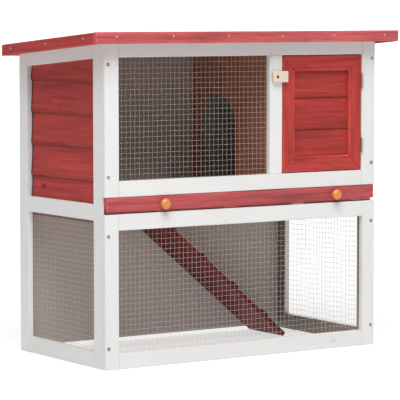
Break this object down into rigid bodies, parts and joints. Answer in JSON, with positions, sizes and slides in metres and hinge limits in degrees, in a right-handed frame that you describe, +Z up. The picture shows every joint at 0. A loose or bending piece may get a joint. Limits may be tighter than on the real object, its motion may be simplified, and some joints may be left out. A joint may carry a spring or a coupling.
{
  "type": "rabbit hutch",
  "caption": "Two-storey wooden rabbit hutch: a window room and a nest box with a door over a wire-sided run, with a sloped roof, a pull-out tray and a ramp.",
  "frame": {"origin": "on the ground under the middle of the roof", "axes": "+X to the right along the front, +Y from the front to the back, +Z up"},
  "size_m": [0.9008, 0.4558, 0.806],
  "materials": {
    "white_paint": "white satin paint over pine",
    "red_paint": "red stain over pine",
    "bare_wood": "bare planed softwood",
    "lacquered_wood": "orange lacquer on turned wood",
    "plywood": "brown plywood",
    "back_board": "grey-brown board",
    "wire_mesh": "galvanised",
    "hinge_steel": "zinc plated",
    "dark_screws": "black phosphate",
    "nails": "bright",
    "roof_felt": "mineral felt"
  },
  "bodies": {
    "root": {"back_board": "back_board", "front_lower_bottom_rail": "white_paint", "front_lower_left_stile": "white_paint", "front_lower_mesh": "wire_mesh", "front_lower_right_stile": "white_paint", "front_lower_top_rail": "white_paint", "front_mullion": "white_paint", "front_upper_bottom_rail": "white_paint", "front_upper_left_stile": "white_paint", "front_upper_right_stile": "white_paint", "front_upper_top_rail": "white_paint", "hinge_frame_leaves": "hinge_steel", "hinge_frame_screws": "hinge_steel", "hinge_pins": "hinge_steel", "left_bottom_rail": "white_paint", "left_front_stile": "white_paint", "left_mesh": "wire_mesh", "left_mid_rail": "white_paint", "left_rear_stile": "white_paint", "left_slats": "red_paint", "left_top_rail": "white_paint", "partition": "plywood", "partition_battens": "plywood", "ramp_bearer": "red_paint", "ramp_board": "red_paint", "ramp_cleats": "red_paint", "right_bottom_rail": "white_paint", "right_front_stile": "white_paint", "right_mesh": "wire_mesh", "right_mid_rail": "white_paint", "right_rear_stile": "white_paint", "right_slats": "red_paint", "right_top_rail": "white_paint", "roof_deck": "plywood", "roof_felt": "roof_felt", "roof_front_fascia": "red_paint", "roof_left_fascia": "red_paint", "roof_rear_fascia": "red_paint", "roof_right_fascia": "red_paint", "staples": "nails", "tray_runners": "red_paint", "turn_button_screw": "dark_screws", "window_mesh": "wire_mesh", "wire_nails": "nails", "wood_screws": "dark_screws"},
    "door": {"door_bottom_rail": "red_paint", "door_left_stile": "red_paint", "door_right_stile": "red_paint", "door_slats": "red_paint", "door_top_rail": "red_paint", "hinge_door_leaves": "hinge_steel", "hinge_door_screws": "hinge_steel"},
    "turn_button": {"turn_button": "bare_wood"},
    "tray": {"tray_floor": "plywood", "tray_front": "red_paint", "tray_hatch_curb": "plywood", "tray_knob_screws": "dark_screws", "tray_knobs": "lacquered_wood", "tray_rear": "plywood", "tray_sides": "plywood"}
  },
  "joints": [
    {"name": "door_hinge", "type": "hinge", "parent": "root", "child": "door", "pos_m": [0.3615, -0.1923, 0.6], "axis": [0, 0, 1], "range_deg": [0, 170]},
    {"name": "turn_button_pivot", "type": "hinge", "parent": "root", "child": "turn_button", "pos_m": [0.092, -0.195, 0.6925], "axis": [0, 1, 0], "range_deg": [-90, 90]},
    {"name": "tray_slide", "type": "slide", "parent": "root", "child": "tray", "axis": [0, -1, 0], "range_m": [0, 0.3]}
  ]
}
